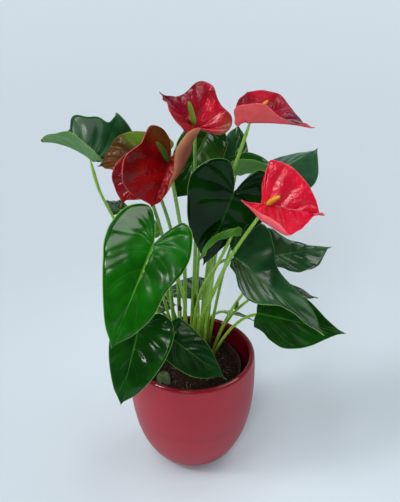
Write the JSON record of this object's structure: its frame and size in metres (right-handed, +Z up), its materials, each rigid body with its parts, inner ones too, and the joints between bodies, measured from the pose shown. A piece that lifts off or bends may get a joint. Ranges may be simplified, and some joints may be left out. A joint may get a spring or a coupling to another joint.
{
  "type": "potted anthurium",
  "caption": "Flamingo flower plant in a round red glazed outer pot, with glossy heart-shaped leaves and lacquered red spathes on tall green stalks.",
  "frame": {"origin": "centre of the outer pot's flat foot, on the surface that it stands on", "axes": "+Z up along the pot's axis, -Y towards the side that the plant is seen from, +X to the right as seen from there"},
  "size_m": [0.317, 0.2189, 0.4573],
  "materials": {
    "glaze": "raspberry-red glaze, satin outside, glossy on the rim and inside",
    "nursery_plastic": "thin dark reddish-brown plastic",
    "peat": "dark fibrous peat",
    "leaf": "thick glossy dark green leaf with paler veins and margin",
    "young_leaf": "young bright green leaf",
    "stalk_green": "smooth yellow-green stalk",
    "spathe_red": "lacquered bright red spathe",
    "spathe_dark": "lacquered dark red spathe",
    "spathe_aged": "aged spathe, green turning orange-brown",
    "spadix_yellow": "matt yellow spadix of tiny florets",
    "spadix_green": "matt green spadix of tiny florets"
  },
  "bodies": {
    "root": {"cachepot": "glaze", "nursery_pot": "nursery_plastic", "soil": "peat", "bloom_front_spadix": "spadix_green", "bloom_front_spathe": "spathe_dark", "bloom_front_stalk": "stalk_green", "bloom_left_spadix": "spadix_green", "bloom_left_spathe": "spathe_dark", "bloom_left_stalk": "stalk_green", "bloom_old_spadix": "spadix_green", "bloom_old_spathe": "spathe_aged", "bloom_old_stalk": "stalk_green", "bloom_right_spadix": "spadix_yellow", "bloom_right_spathe": "spathe_red", "bloom_right_stalk": "stalk_green", "bloom_top_right_spadix": "spadix_yellow", "bloom_top_right_spathe": "spathe_red", "bloom_top_right_stalk": "stalk_green", "bloom_top_spadix": "spadix_green", "bloom_top_spathe": "spathe_dark", "bloom_top_stalk": "stalk_green", "leaf_back_centre_blade": "leaf", "leaf_back_centre_petiole": "stalk_green", "leaf_back_high_blade": "leaf", "leaf_back_high_petiole": "stalk_green", "leaf_back_left_blade": "leaf", "leaf_back_left_petiole": "stalk_green", "leaf_back_low_blade": "leaf", "leaf_back_low_petiole": "stalk_green", "leaf_back_right_blade": "leaf", "leaf_back_right_petiole": "stalk_green", "leaf_back_rim_blade": "leaf", "leaf_back_rim_petiole": "stalk_green", "leaf_centre_blade": "leaf", "leaf_centre_petiole": "stalk_green", "leaf_front_left_blade": "leaf", "leaf_front_left_petiole": "stalk_green", "leaf_front_low_blade": "leaf", "leaf_front_low_petiole": "stalk_green", "leaf_front_small_blade": "leaf", "leaf_front_small_petiole": "stalk_green", "leaf_left_high_blade": "leaf", "leaf_left_high_petiole": "stalk_green", "leaf_left_inner_blade": "leaf", "leaf_left_inner_petiole": "stalk_green", "leaf_left_young_blade": "leaf", "leaf_left_young_petiole": "stalk_green", "leaf_right_broad_blade": "leaf", "leaf_right_broad_petiole": "stalk_green", "leaf_right_high_blade": "leaf", "leaf_right_high_petiole": "stalk_green", "leaf_right_inner_blade": "leaf", "leaf_right_inner_petiole": "stalk_green", "leaf_right_low_blade": "leaf", "leaf_right_low_petiole": "stalk_green", "leaf_right_mid_blade": "leaf", "leaf_right_mid_petiole": "stalk_green", "leaf_young_curled_blade": "young_leaf", "leaf_young_curled_petiole": "stalk_green"}
  },
  "joints": []
}
